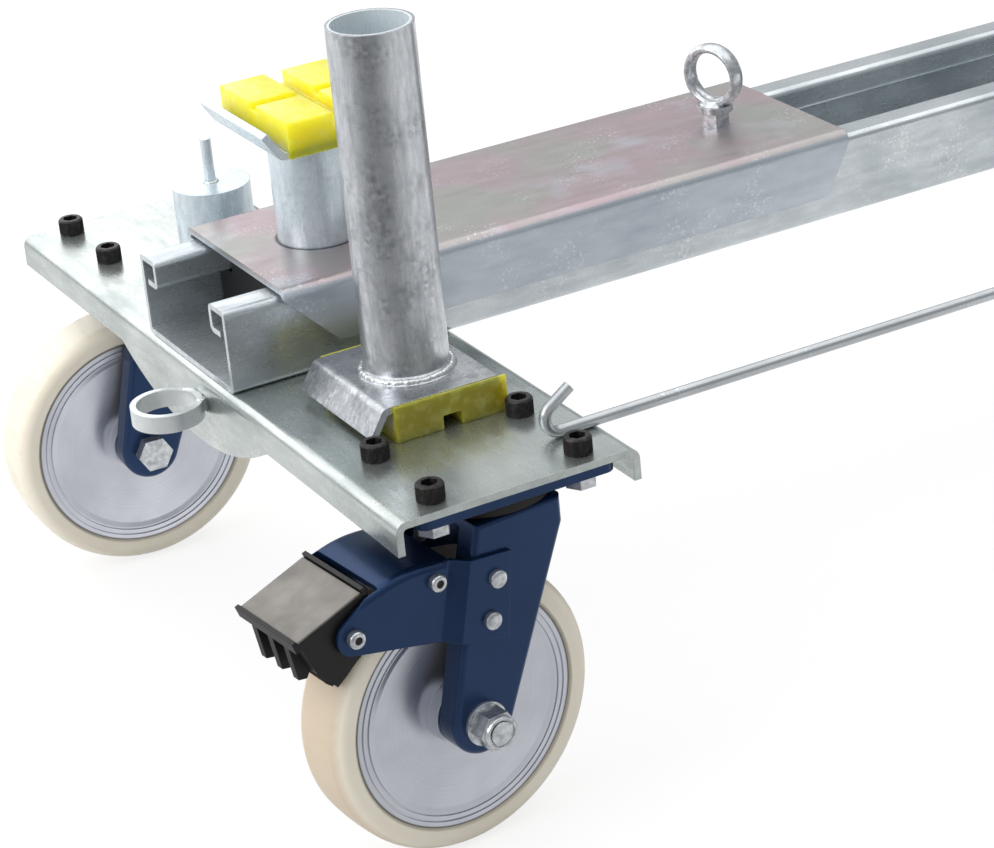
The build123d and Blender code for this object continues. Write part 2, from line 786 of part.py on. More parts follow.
def pull_rod():
    level = plate_top + rod_diameter / 2 + free_gap
    origin = -plate_spacing / 2
    bend = Vector(origin + rod_hook_bend, rod_place, level)
    centre = bend + Vector(0, 0, rod_hook_radius)
    rise = math.radians(rod_hook_angle)
    leg = Vector(math.cos(rise), 0, math.sin(rise))
    leg_start = centre + Vector(-math.sin(rise), 0, math.cos(rise)) * rod_hook_radius
    front = centre - Vector(rod_hook_radius, 0, 0)
    loop_start = Vector(plate_spacing / 2, rod_place, level)
    loop_plane = Plane(loop_start + Vector(0, rod_loop_radius, 0))
    path = [
        Line(leg_start + leg * rod_hook_leg, leg_start),
        ThreePointArc(leg_start, front, bend),
        Line(bend, loop_start),
        loop_plane * CenterArc((0, 0), rod_loop_radius, -90, rod_loop_sweep),
    ]
    tip = leg_start + leg * rod_hook_leg
    section = Plane(tip, z_dir=-leg) * Circle(rod_diameter / 2)
    return sweep(section, Wire([edge for piece in path for edge in piece.edges()]))


# Nodes

os.makedirs("parts", exist_ok=True)


def save(name, shape):
    export_step(shape, f"parts/{name}.step")


end_pieces = {
    "end_plate": end_plate(),
    "tow_ring": tow_ring(),
    "sleeve": sleeve(),
    "glide_blocks": glide_blocks(),
    "clamp_bar": clamp_bar(),
    "clamp_nut": clamp_nut(),
    "eye_bolt": eye_bolt(),
    "short_support": short_support(),
    "short_pad": short_pad(),
    "tall_support": stored(support_top(tall_post)),
    "tall_pad": stored(pad(tall_post)),
    "spacer": spacer(),
}
wheel_pieces = {
    "hub": hub(),
    "tyre": tyre(),
}
brake_pieces = {
    "brake_housing": brake_housing(),
    "brake_pins": brake_pins(),
    "brake_pedal": brake_pedal(),
    "pedal_tread": pedal_tread(),
    "brake_shoe": brake_shoe(),
}
forks = {"braked": braked_fork(), "plain": fork()}
axle_nut_sides = {"braked": -1, "plain": 1}
balls = []

for end_name, end in ends.items():
    for piece_name, piece in end_pieces.items():
        save(f"{piece_name}_{end_name}", end * piece)
    for castor_name, castor in castors.items():
        place = end * castor
        turned = place * Rot(0, 0, castor_turns[castor_name])
        save(f"castor_plate_{end_name}_{castor_name}", place * castor_plate())
        save(f"fork_{end_name}_{castor_name}", turned * forks[castor_name])
        save(f"axle_{end_name}_{castor_name}", turned * axle_set(axle_nut_sides[castor_name]))
        for piece_name, piece in wheel_pieces.items():
            save(f"{piece_name}_{end_name}_{castor_name}", turned * piece)
        balls += [place * ball for ball in swivel_balls()]
    braked = end * castors["braked"] * Rot(0, 0, castor_turns["braked"])
    for piece_name, piece in brake_pieces.items():
        save(f"{piece_name}_{end_name}", braked * piece)

screw = castor_screw()
nut = castor_nut()
save("castor_screws", group([place * screw for place in castor_fastener_places()]))
save("castor_nuts", group([place * nut for place in castor_fastener_places()]))
save("swivel_balls", group(balls))
save("c_rail", c_rail())
save("pull_rod", pull_rod())
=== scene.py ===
import itertools
import math

import bmesh
import bpy
from mathutils import Matrix, Vector


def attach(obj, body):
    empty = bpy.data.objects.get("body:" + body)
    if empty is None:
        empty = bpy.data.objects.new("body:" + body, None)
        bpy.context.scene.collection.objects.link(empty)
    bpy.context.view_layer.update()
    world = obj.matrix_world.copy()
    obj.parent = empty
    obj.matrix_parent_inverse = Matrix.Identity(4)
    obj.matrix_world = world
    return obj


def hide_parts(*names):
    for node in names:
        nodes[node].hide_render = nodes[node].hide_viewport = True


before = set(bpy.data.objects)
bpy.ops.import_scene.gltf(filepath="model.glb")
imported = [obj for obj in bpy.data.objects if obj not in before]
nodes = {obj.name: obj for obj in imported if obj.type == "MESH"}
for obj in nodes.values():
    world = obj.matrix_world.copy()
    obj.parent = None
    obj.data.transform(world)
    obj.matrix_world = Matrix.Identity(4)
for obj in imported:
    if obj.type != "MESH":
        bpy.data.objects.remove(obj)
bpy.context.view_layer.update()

# Sizes of the skate that the added pieces share with the solids, in millimetres

MM = 0.001
PLATE_TOP = 257  # over the floor
PLATE_SHEET = 5
END_X = 700  # middle of the skate to the middle of an end plate
CASTOR_Y = {"braked": -257.5, "plain": 257.5}  # in an end's own frame
CASTOR_TURN = {"braked": 6, "plain": -2}  # degrees that the forks stand off straight
TRAIL = 42  # swivel axis to axle
WHEEL_RADIUS = 99
HUB_RADIUS = 82
AXLE_UP = WHEEL_RADIUS - PLATE_TOP + PLATE_SHEET  # from the castor's mounting face
SLEEVE_TOP = 67  # over the end plate's top
BLUSH_DOWN = 3  # how far the blush reaches down the sleeve's bends
POST_RADIUS = 28.5
WITHIN_WALL = 1.7  # from a post's outside to a place within its wall
TALL_PLACE = (5.5, -157)  # where the posts stand in the end's frame, along and across
SHORT_PLACE = (23, 0)
ENDS = {"left": 1, "right": -1}


# Placing tools


def end_place(end, along=0, across=0, up=0):
    """Placing matrix in an end's own frame, in millimetres: +X towards the middle, zero on the plate."""
    turn = Matrix.Rotation(0 if ENDS[end] > 0 else math.pi, 4, "Z")
    middle = Matrix.Translation(Vector((-ENDS[end] * END_X, 0, PLATE_TOP)) * MM)
    return middle @ turn @ Matrix.Translation(Vector((along, across, up)) * MM)


def castor_place(end, kind, along=0, across=0, up=0):
    """Placing matrix in a turned castor's frame: zero on the swivel axis at the mounting face."""
    turn = Matrix.Rotation(math.radians(CASTOR_TURN[kind]), 4, "Z")
    return end_place(end, 0, CASTOR_Y[kind], -PLATE_SHEET) @ turn @ Matrix.Translation(
        Vector((along, across, up)) * MM)


# Material tools


def linear(colour):
    """Linear RGBA from an sRGB hex colour."""
    parts = [int(colour[i:i + 2], 16) / 255 for i in (1, 3, 5)]
    return tuple(c / 12.92 if c <= 0.04045 else ((c + 0.055) / 1.055) ** 2.4 for c in parts) + (1.0,)


def add(tree, kind, settings=(), inputs=()):
    """Adds a node with its settings; an input gets a value, a socket, or a node's first output."""
    node = tree.nodes.new(kind)
    for name, value in dict(settings).items():
        setattr(node, name, value)
    for key, value in dict(inputs).items():
        if isinstance(value, bpy.types.Node):
            value = value.outputs[0]
        if isinstance(value, bpy.types.NodeSocket):
            tree.links.new(value, node.inputs[key])
        else:
            node.inputs[key].default_value = value
    return node


def new_material(name):
    """An empty material and its node tree."""
    material = bpy.data.materials.new(name)
    material.use_nodes = True
    material.node_tree.nodes.clear()
    return material, material.node_tree


def in_millimetres(tree, stretch=(1, 1, 1)):
    """Object coordinates counted in millimetres; a stretch of 4 draws a pattern 4 times longer."""
    place = add(tree, "ShaderNodeTexCoord").outputs["Object"]
    return add(tree, "ShaderNodeMapping", inputs={
        "Vector": place, "Scale": [1 / MM / s for s in stretch]})


def patches(tree, place, width, low, high, cover=1.0, detail=3.0):
    """Share of the surface under patches about this many millimetres wide, from noise cut off softly."""
    pattern = add(tree, "ShaderNodeTexNoise", inputs={
        "Vector": place, "Scale": 1 / width, "Detail": detail})
    return add(tree, "ShaderNodeMapRange", inputs={
        "Value": pattern, "From Min": low, "From Max": high, "To Max": cover})


def layered(tree, colour, *layers):
    """Colour under thin layers, each a share and a colour; colours are sRGB hex or sockets."""
    for share, layer in layers:
        under, over = (linear(c) if isinstance(c, str) else c for c in (colour, layer))
        mix = add(tree, "ShaderNodeMix", {"data_type": "RGBA"}, {0: share, 6: under, 7: over})
        colour = mix.outputs[2]
    return colour


def dented_surface(tree, edge, *dents):
    """Normal with edges as if rounded by this many millimetres, and dents: a pattern and its depth."""
    normal = add(tree, "ShaderNodeBevel", {"samples": 4}, {"Radius": edge * MM})
    for pattern, depth in dents:
        normal = add(tree, "ShaderNodeBump", inputs={
            "Height": pattern, "Strength": 1.0, "Distance": depth * MM, "Normal": normal})
    return normal


def finished(material, tree, **inputs):
    """Ends a material in one surface shader with these inputs, underscores standing for spaces."""
    surface = add(tree, "ShaderNodeBsdfPrincipled", inputs={
        name.replace("_", " "): value for name, value in inputs.items()})
    add(tree, "ShaderNodeOutputMaterial", inputs={"Surface": surface})
    return material


# Places that patterns are drawn round; one material serves both ends, folded onto the left one


def folded_onto_left(tree, vector):
    """A vector of the left end as it is, one of the right end turned half round to match it."""
    place = add(tree, "ShaderNodeTexCoord").outputs["Object"]
    along = add(tree, "ShaderNodeSeparateXYZ", inputs={0: place})
    side = add(tree, "ShaderNodeMath", {"operation": "SIGN"}, {0: along})
    fold = add(tree, "ShaderNodeMath", {"operation": "MULTIPLY"}, {0: side, 1: -1.0})
    half_turn = add(tree, "ShaderNodeCombineXYZ", inputs={0: fold, 1: fold, 2: 1.0})
    return add(tree, "ShaderNodeVectorMath", {"operation": "MULTIPLY"}, {0: vector, 1: half_turn})


def post_distance(tree, axis):
    """Distance in millimetres from the axis of a post that stands there in the left end's frame."""
    place = folded_onto_left(tree, add(tree, "ShaderNodeTexCoord").outputs["Object"])
    offset = add(tree, "ShaderNodeVectorMath", {"operation": "SUBTRACT"}, {
        0: place, 1: end_place("left", *axis).to_translation()})
    level = add(tree, "ShaderNodeVectorMath", {"operation": "MULTIPLY"}, {0: offset, 1: (1, 1, 0)})
    metres = add(tree, "ShaderNodeVectorMath", {"operation": "LENGTH"}, {0: level}).outputs["Value"]
    return add(tree, "ShaderNodeMath", {"operation": "DIVIDE"}, {0: metres, 1: MM})


def at_axle(tree, kind):
    """Millimetres from a wheel's middle: along, across and up."""
    place = add(tree, "ShaderNodeTexCoord").outputs["Object"]
    middle = castor_place("left", kind, -TRAIL, 0, AXLE_UP).to_translation()
    return add(tree, "ShaderNodeMapping", {"vector_type": "TEXTURE"}, {
        "Vector": folded_onto_left(tree, place), "Location": middle,
        "Rotation": (0, 0, math.radians(CASTOR_TURN[kind])), "Scale": (MM, MM, MM)})


def axle_distance(tree, kind):
    """Distance from a wheel's axle in millimetres."""
    split = add(tree, "ShaderNodeSeparateXYZ", inputs={0: at_axle(tree, kind)})
    flat = add(tree, "ShaderNodeCombineXYZ", inputs={0: split.outputs[0], 1: split.outputs[2]})
    return add(tree, "ShaderNodeVectorMath", {"operation": "LENGTH"}, {0: flat}).outputs["Value"]


def round_axle(tree, kind):
    """Direction of the lathe's tool marks, square to the line from the axle."""
    split = add(tree, "ShaderNodeSeparateXYZ", inputs={0: at_axle(tree, kind)})
    down = add(tree, "ShaderNodeMath", {"operation": "MULTIPLY"}, {0: split.outputs[2], 1: -1.0})
    marks = add(tree, "ShaderNodeCombineXYZ", inputs={0: down, 2: split.outputs[0]})
    return folded_onto_left(tree, marks)


# Materials


def zinc_plated_steel(name, pale, deep, roll, mottle=9.0, roughness=0.36, metallic=0.75,
                      blush_above=None, post=None):
    """Rolled steel, zinc plated: a soft half-mirror, cloudy, with dull specks and white bloom.

    roll draws the blotches out along the rolling, and mottle is their width in millimetres. blush_above
    is the height over the floor from which passivation colours, pink and green, lie on the zinc. post is
    the place of a post on the sheet, which is darker under it and just round it: a painted shadow."""
    material, tree = new_material(name)
    place = in_millimetres(tree)
    clouds = add(tree, "ShaderNodeTexNoise", inputs={"Vector": place, "Scale": 1 / 70, "Detail": 3.0})
    blotches = add(tree, "ShaderNodeTexNoise", inputs={
        "Vector": in_millimetres(tree, roll), "Scale": 1 / mottle, "Detail": 6.0, "Roughness": 0.62})
    faint = add(tree, "ShaderNodeMath", {"operation": "MULTIPLY"}, {0: blotches, 1: 0.5})
    tone = add(tree, "ShaderNodeMath", {"operation": "MULTIPLY_ADD"}, {0: clouds, 1: 0.6, 2: faint})
    paleness = add(tree, "ShaderNodeMapRange", inputs={
        "Value": tone, "From Min": 0.36, "From Max": 0.74})
    colour = layered(tree, deep, (paleness, pale))
    if blush_above is not None:
        greenish = patches(tree, place, 75, 0.4, 0.62, detail=2.0)
        height = add(tree, "ShaderNodeSeparateXYZ", inputs={0: place}).outputs[2]
        on_top = add(tree, "ShaderNodeMapRange", inputs={
            "Value": height, "From Min": blush_above - 1, "From Max": blush_above + 1, "To Max": 0.95})
        blush = add(tree, "ShaderNodeMath", {"operation": "MULTIPLY"}, {
            0: on_top, 1: patches(tree, place, 38, 0.1, 0.45, detail=4.0)})
        colour = layered(tree, colour, (blush, layered(tree, "#AD9BA0", (greenish, "#A3A49F"))))
    specks = patches(tree, place, 1.6, 0.66, 0.76, cover=0.3, detail=2.0)
    bloom = add(tree, "ShaderNodeMath", {"operation": "MULTIPLY"}, {
        0: patches(tree, place, 45, 0.52, 0.66, detail=2.0),
        1: patches(tree, place, 2.4, 0.56, 0.68, cover=0.5)})
    colour = layered(tree, colour, (specks, "#6E7274"), (bloom, "#F1F4F3"))
    # Painted shadow: the sheet goes dark under the post and in a thin band round its foot.
    if post is not None:
        painted_post_shadow = add(tree, "ShaderNodeMapRange", inputs={
            "Value": post_distance(tree, post), "From Min": POST_RADIUS + 1.2,
            "From Max": POST_RADIUS + 3, "To Min": 0.9, "To Max": 0.0})
        colour = layered(tree, colour, (painted_post_shadow, "#232324"))
    sheen = add(tree, "ShaderNodeMapRange", inputs={
        "Value": blotches, "From Min": 0.3, "From Max": 0.7,
        "To Min": roughness + 0.08, "To Max": roughness - 0.08})
    return finished(
        material, tree, Base_Color=colour, Metallic=metallic, Roughness=sheen,
        Normal=dented_surface(tree, 0.8, (clouds, 0.25), (blotches, 0.05)))


def galvanised_tube(name, pale, deep, bloom, metallic, axis):
    """Welded tube, zinc plated: drawing marks, a mottled bloom that breaks reflections; pale inside,
    painted light.

    bloom is how much of the colour the mottling takes, and axis is where the tube stands in the left
    end's frame, along and across."""
    material, tree = new_material(name)
    place = in_millimetres(tree)
    drawn = add(tree, "ShaderNodeTexNoise", inputs={
        "Vector": in_millimetres(tree, ALONG_Z), "Scale": 1 / 4.5, "Detail": 5.0, "Roughness": 0.7})
    crystals = add(tree, "ShaderNodeTexVoronoi", {"feature": "SMOOTH_F1"}, {
        "Vector": place, "Scale": 1 / 3.2, "Smoothness": 0.7}).outputs["Color"]
    crystal = add(tree, "ShaderNodeSeparateXYZ", inputs={0: crystals})
    dullness = add(tree, "ShaderNodeMapRange", inputs={"Value": crystal, "To Max": bloom})
    mottling = add(tree, "ShaderNodeMath", {"operation": "MULTIPLY"}, {
        0: patches(tree, place, 26, 0.4, 0.62, detail=4.0), 1: dullness})
    paleness = add(tree, "ShaderNodeMapRange", inputs={
        "Value": drawn, "From Min": 0.3, "From Max": 0.72})
    # Painted light: the tube's inside is paler and less metallic, so that it reads lit.
    inside = add(tree, "ShaderNodeMath", {"operation": "LESS_THAN"}, {
        0: post_distance(tree, axis), 1: POST_RADIUS - WITHIN_WALL})
    bare_metal = add(tree, "ShaderNodeMapRange", inputs={
        "Value": inside, "To Min": metallic, "To Max": 0.15})
    sheen = add(tree, "ShaderNodeMapRange", inputs={
        "Value": drawn, "From Min": 0.3, "From Max": 0.7, "To Min": 0.36, "To Max": 0.2})
    return finished(
        material, tree, Metallic=bare_metal, Roughness=sheen,
        Base_Color=layered(tree, deep, (paleness, pale), (mottling, "#7B8084"), (inside, "#D3DCE0")),
        Normal=dented_surface(tree, 0.8, (drawn, 0.12)))


def bright_zinc(name):
    """Turned and forged fasteners, bright zinc: small, shiny, slightly blue with dull spots."""
    material, tree = new_material(name)
    spots = add(tree, "ShaderNodeTexNoise", inputs={
        "Vector": in_millimetres(tree), "Scale": 1 / 4, "Detail": 3.0})
    dullness = add(tree, "ShaderNodeMapRange", inputs={
        "Value": spots, "From Min": 0.35, "From Max": 0.7})
    sheen = add(tree, "ShaderNodeMapRange", inputs={"Value": spots, "To Min": 0.16, "To Max": 0.42})
    return finished(
        material, tree, Base_Color=layered(tree, "#D6D9DD", (dullness, "#A9ADB0")), Metallic=0.9,
        Roughness=sheen, Normal=dented_surface(tree, 0.5, (spots, 0.04)))


def blue_enamel(name):
    """Stoved blue coat on pressed steel: navy in the shade, bluer in the light, fine orange peel."""
    material, tree = new_material(name)
    place = in_millimetres(tree)
    clouds = add(tree, "ShaderNodeTexNoise", inputs={"Vector": place, "Scale": 1 / 40, "Detail": 2.0})
    peel = add(tree, "ShaderNodeTexNoise", inputs={"Vector": place, "Scale": 1 / 1.6, "Detail": 1.0})
    sheen = add(tree, "ShaderNodeMapRange", inputs={
        "Value": clouds, "From Min": 0.3, "From Max": 0.7, "To Min": 0.24, "To Max": 0.34})
    return finished(
        material, tree, Base_Color=layered(tree, "#1A3052", (clouds, "#203A61")), Metallic=0.7,
        Roughness=sheen, Normal=dented_surface(tree, 1.4, (peel, 0.015)),
        Coat_Weight=0.1, Coat_Roughness=0.2)


def black_oxide_steel(name):
    """High-tensile screws, black oxide: nearly black with an oily sheen and brown wear."""
    material, tree = new_material(name)
    wear = add(tree, "ShaderNodeTexNoise", inputs={
        "Vector": in_millimetres(tree), "Scale": 1 / 3, "Detail": 3.0})
    brown = add(tree, "ShaderNodeMapRange", inputs={"Value": wear, "From Min": 0.5, "From Max": 0.72})
    sheen = add(tree, "ShaderNodeMapRange", inputs={"Value": wear, "To Min": 0.3, "To Max": 0.55})
    return finished(
        material, tree, Base_Color=layered(tree, "#292727", (brown, "#464240")), Metallic=0.6,
        Roughness=sheen, Normal=dented_surface(tree, 0.5))


def turned_casting(kind):
    """Die-cast wheel centre, turned on the lathe: satin pale grey, rings of tool marks, a dirty seam."""
    material, tree = new_material(f"turned_aluminium_casting_{kind}")
    radius = axle_distance(tree, kind)
    # Real tool marks are finer; these are as coarse as they need to be to show
    rings = add(tree, "ShaderNodeTexNoise", {"noise_dimensions": "1D"}, {
        "W": radius, "Scale": 1 / 1.6, "Detail": 3.0})
    clouds = patches(tree, in_millimetres(tree), 30, 0.35, 0.65, cover=0.4, detail=2.0)
    seam = add(tree, "ShaderNodeMapRange", inputs={
        "Value": radius, "From Min": HUB_RADIUS - 1.6, "From Max": HUB_RADIUS - 0.5, "To Max": 0.85})
    sheen = add(tree, "ShaderNodeMapRange", inputs={"Value": rings, "To Min": 0.26, "To Max": 0.38})
    return finished(
        material, tree, Metallic=0.95, Roughness=sheen,
        Base_Color=layered(tree, "#C6C9D2", (rings, "#DADCE3"), (clouds, "#B8BBC5"), (seam, "#4A463F")),
        Anisotropic=0.85, Tangent=round_axle(tree, kind),
        Normal=dented_surface(tree, 0.4, (rings, 0.02)))


def ivory_polyamide(kind, worn_and_shaded):
    """Cast polyamide tread: warm ivory, waxy, light goes in a little; scuffed and brown where it runs.

    The last argument is how brown the running face is made: wear, and partly painted shade."""
    material, tree = new_material(f"ivory_cast_polyamide_{kind}")
    place = in_millimetres(tree)
    radius = axle_distance(tree, kind)
    clouds = add(tree, "ShaderNodeTexNoise", inputs={"Vector": place, "Scale": 1 / 45, "Detail": 4.0})
    running = add(tree, "ShaderNodeMapRange", inputs={
        "Value": radius, "From Min": WHEEL_RADIUS - 5, "From Max": WHEEL_RADIUS - 1})
    # Brown running face: partly wear, partly painted shade, for the braked tyre only.
    browned_and_shaded = add(tree, "ShaderNodeMath", {"operation": "MULTIPLY"}, {0: running, 1: worn_and_shaded})
    across_tread = in_millimetres(tree, (1, 8, 1))
    scuffs = add(tree, "ShaderNodeMath", {"operation": "MULTIPLY"}, {
        0: patches(tree, across_tread, 6, 0.5, 0.75, cover=0.22, detail=4.0), 1: running})
    seam = add(tree, "ShaderNodeMapRange", inputs={
        "Value": radius, "From Min": HUB_RADIUS + 2.2, "From Max": HUB_RADIUS + 0.6, "To Max": 0.55})
    ivory = layered(tree, "#F4EEE0", (clouds, "#EADFCB"))
    colour = layered(tree, ivory, (browned_and_shaded, "#B59B7C"), (scuffs, "#BFAE90"), (seam, "#7C7058"))
    grain = add(tree, "ShaderNodeTexNoise", inputs={"Vector": place, "Scale": 1 / 1.2, "Detail": 2.0})
    return finished(
        material, tree, Base_Color=colour, Roughness=0.44, IOR=1.53,
        Normal=dented_surface(tree, 0.6, (grain, 0.01)), Subsurface_Weight=0.15,
        Subsurface_Radius=(4 * MM, 3 * MM, 2 * MM), Subsurface_Scale=1.0)


def yellow_polyurethane(name, yellow, pale):
    """Cast polyurethane block: lemon yellow that glows from within, glossy, with soft ripples."""
    material, tree = new_material(name)
    place = in_millimetres(tree)
    ripples = add(tree, "ShaderNodeTexNoise", inputs={"Vector": place, "Scale": 1 / 7, "Detail": 2.0})
    clouds = add(tree, "ShaderNodeTexNoise", inputs={"Vector": place, "Scale": 1 / 14, "Detail": 3.0})
    # Pale patches: partly milky cloudiness, partly painted highlights.
    milky_and_glints = patches(tree, place, 8, 0.45, 0.7, cover=0.3, detail=4.0)
    sheen = add(tree, "ShaderNodeMapRange", inputs={
        "Value": ripples, "From Min": 0.3, "From Max": 0.7, "To Min": 0.3, "To Max": 0.42})
    return finished(
        material, tree, Base_Color=layered(tree, yellow, (clouds, pale), (milky_and_glints, "#EDE690")),
        IOR=1.5, Roughness=sheen, Normal=dented_surface(tree, 1.6, (ripples, 0.8)),
        Subsurface_Weight=1.0, Subsurface_Radius=(40 * MM, 34 * MM, 3 * MM), Subsurface_Scale=1.0,
        Coat_Weight=0.2, Coat_Roughness=0.15)


def moulded_plastic(name, dark, light, roughness, grit):
    """Injection-moulded plastic or rubber: matt, cloudy, with a spark-eroded grain.

    grit is the grain's width in millimetres, coarser than the real one so that it shows."""
    material, tree = new_material(name)
    place = in_millimetres(tree)
    clouds = add(tree, "ShaderNodeTexNoise", inputs={"Vector": place, "Scale": 1 / 18, "Detail": 3.0})
    grain = add(tree, "ShaderNodeTexNoise", inputs={"Vector": place, "Scale": 1 / grit, "Detail": 2.0})
    sheen = add(tree, "ShaderNodeMapRange", inputs={
        "Value": clouds, "To Min": roughness - 0.08, "To Max": roughness + 0.08})
    return finished(
        material, tree, Base_Color=layered(tree, dark, (clouds, light)), IOR=1.4, Roughness=sheen,
        Normal=dented_surface(tree, 0.6, (grain, 0.03)))


# How far patterns are drawn out along the rolling or drawing of the steel
ALONG_X = (4, 1, 1)
ALONG_Y = (1, 4, 1)
ALONG_Z = (1, 1, 5)
ANY_WAY = (1, 1, 1)

PLATE_ZINC = zinc_plated_steel(
    "zinc_plated_end_plate", "#CAD0CE", "#A7AFAD", ALONG_Y, roughness=0.27, metallic=0.88)
RING_ZINC = zinc_plated_steel("zinc_plated_ring", "#E0E4E4", "#CBD0D0", ANY_WAY)
RAIL_ZINC = zinc_plated_steel("zinc_plated_rail", "#D3D9DC", "#ACB4B9", ALONG_X, roughness=0.28)
SLEEVE_ZINC = zinc_plated_steel(
    "zinc_plated_sleeve", "#C3CAD2", "#A9B2BB", ALONG_X, metallic=0.7,
    blush_above=PLATE_TOP + SLEEVE_TOP - BLUSH_DOWN, post=SHORT_PLACE)
TALL_ZINC = galvanised_tube("galvanised_tall_tube", "#D2D4D8", "#A9ADB2", 0.7, 0.9, TALL_PLACE)
# The short tube and spacer get a paler, bluer, less metallic zinc: painted reflection of white
# surroundings.
SHORT_ZINC_PAINTED_REFLECTION = galvanised_tube("galvanised_short_tube_painted_reflection", "#DDE8EE", "#C6D2D9", 0.25, 0.48, SHORT_PLACE)
WIRE_ZINC = zinc_plated_steel("zinc_plated_rod", "#BFC3C6", "#A8ACAF", ALONG_X, roughness=0.3)
WELD_METAL = zinc_plated_steel(
    "zinc_plated_weld", "#DFE2E3", "#C4C8C9", ANY_WAY, mottle=3.0, roughness=0.26)
FASTENER_ZINC = bright_zinc("bright_zinc_fasteners")
ENAMEL = blue_enamel("blue_stoved_enamel")
BLACK_OXIDE = black_oxide_steel("black_oxide_screws")
HUB_METAL = {kind: turned_casting(kind) for kind in CASTOR_Y}
# The braked tyre's browner tread is partly wear and partly painted shade.
IVORY = {"braked": ivory_polyamide("braked", 0.6), "plain": ivory_polyamide("plain", 0.0)}
YELLOW = yellow_polyurethane("yellow_cast_polyurethane", "#EDD812", "#E6DA34")
# A darker copy of the same yellow, for the pad under the plate: painted shade.
SHADED_YELLOW = yellow_polyurethane("yellow_cast_polyurethane_painted_shade", "#8F8514", "#9A9120")
BLACK_PLASTIC = moulded_plastic("black_moulded_polyamide", "#0E0D0D", "#181617", 0.48, 0.9)
GREY_PLASTIC = moulded_plastic("grey_moulded_tread", "#55524F", "#94908A", 0.5, 1.1)
BRAKE_RUBBER = moulded_plastic("brake_rubber", "#222020", "#2E2B29", 0.75, 1.2)

NODE_MATERIALS = {
    "end_plate": PLATE_ZINC,
    "tow_ring": RING_ZINC,
    "sleeve": SLEEVE_ZINC,
    "glide_blocks": BLACK_PLASTIC,
    "clamp_bar": RAIL_ZINC,
    "clamp_nut": FASTENER_ZINC,
    "eye_bolt": FASTENER_ZINC,
    "short_support": SHORT_ZINC_PAINTED_REFLECTION,
    "tall_support": TALL_ZINC,
    "spacer": SHORT_ZINC_PAINTED_REFLECTION,
    "short_pad": YELLOW,
    "tall_pad": SHADED_YELLOW,
    "castor_plate": ENAMEL,
    "fork": ENAMEL,
    "axle": FASTENER_ZINC,
    "hub": HUB_METAL,
    "tyre": IVORY,
    "brake_housing": ENAMEL,
    "brake_pins": FASTENER_ZINC,
    "brake_pedal": BLACK_PLASTIC,
    "pedal_tread": GREY_PLASTIC,
    "brake_shoe": BRAKE_RUBBER,
    "castor_screws": BLACK_OXIDE,
    "castor_nuts": FASTENER_ZINC,
    "swivel_balls": FASTENER_ZINC,
    "c_rail": RAIL_ZINC,
    "pull_rod": WIRE_ZINC,
}
for node_name, node in nodes.items():
    piece = next(piece for piece in NODE_MATERIALS if node_name.startswith(piece))
    material = NODE_MATERIALS[piece]
    if isinstance(material, dict):
        castor_kind = node_name.rsplit("_", 1)[1]
        material = material[castor_kind]
    node.data.materials.clear()
    node.data.materials.append(material)


# Mesh tools


def new_tree(name, inputs, output):
    """Geometry Nodes tree with these inputs, each with its kind of socket, and one geometry output."""
    tree = bpy.data.node_groups.new(name, "GeometryNodeTree")
    for label, kind in inputs.items():
        tree.interface.new_socket(label, in_out="INPUT", socket_type=f"NodeSocket{kind}")
    tree.interface.new_socket(output, in_out="OUTPUT", socket_type="NodeSocketGeometry")
    return tree


def grown(name, mesh, tree, sizes):
    """Plain mesh that a Geometry Nodes tree makes of a draft mesh, with these inputs by name."""
    draft = bpy.data.objects.new(name, mesh)
    bpy.context.scene.collection.objects.link(draft)
    modifier = draft.modifiers.new(name, "NODES")
    modifier.node_group = tree
    for item in tree.interface.items_tree:
        if item.in_out == "INPUT" and item.name in sizes:
            modifier[item.identifier] = sizes[item.name]
    graph = bpy.context.evaluated_depsgraph_get()
    plain = bpy.data.meshes.new_from_object(draft.evaluated_get(graph))
    bpy.data.objects.remove(draft)
    return plain


def smooth(mesh, sharp=40):
    """Smooth shading that keeps edges sharper than this many degrees."""
    mesh.polygons.foreach_set("use_smooth", [True] * len(mesh.polygons))
    mesh.set_sharp_from_angle(angle=math.radians(sharp))
    return mesh


def add_piece(name, mesh, material, body, replaced=()):
    """A finished piece: its material, the body that it rides on and the nodes that it stands for."""
    mesh.materials.clear()
    mesh.materials.append(material)
    piece = bpy.data.objects.new(name, mesh)
    bpy.context.scene.collection.objects.link(piece)
    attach(piece, body)
    if replaced:
        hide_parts(*replaced)


def plain_mesh(name, bm):
    """Mesh made of a bmesh, with its faces pointing outwards."""
    mesh = bpy.data.meshes.new(name)
    bmesh.ops.recalc_face_normals(bm, faces=bm.faces)
    bm.to_mesh(mesh)
    bm.free()
    return mesh


def turned(name, profile, places, segments=48):
    """Rings turned from a closed profile of radii and heights in millimetres, one on each place."""
    bm = bmesh.new()
    steps = range(segments)
    angles = [2 * math.pi * step / segments for step in steps]
    for place in places:
        hoops = [
            [bm.verts.new(place @ (Vector((r * math.cos(a), r * math.sin(a), h)) * MM)) for a in angles]
            for r, h in profile
        ]
        for low, high in zip(hoops, hoops[1:] + hoops[:1]):
            for step in steps:
                bm.faces.new((low[step - 1], low[step], high[step], high[step - 1]))
    return smooth(plain_mesh(name, bm))


def facing(side):
    """Turns a piece's +Z to +Y or -Y."""
    return Matrix.Rotation(math.radians(-90 * side), 4, "X")


# Cast pads: the grooved blocks that wrap the side edges of the supports' plates

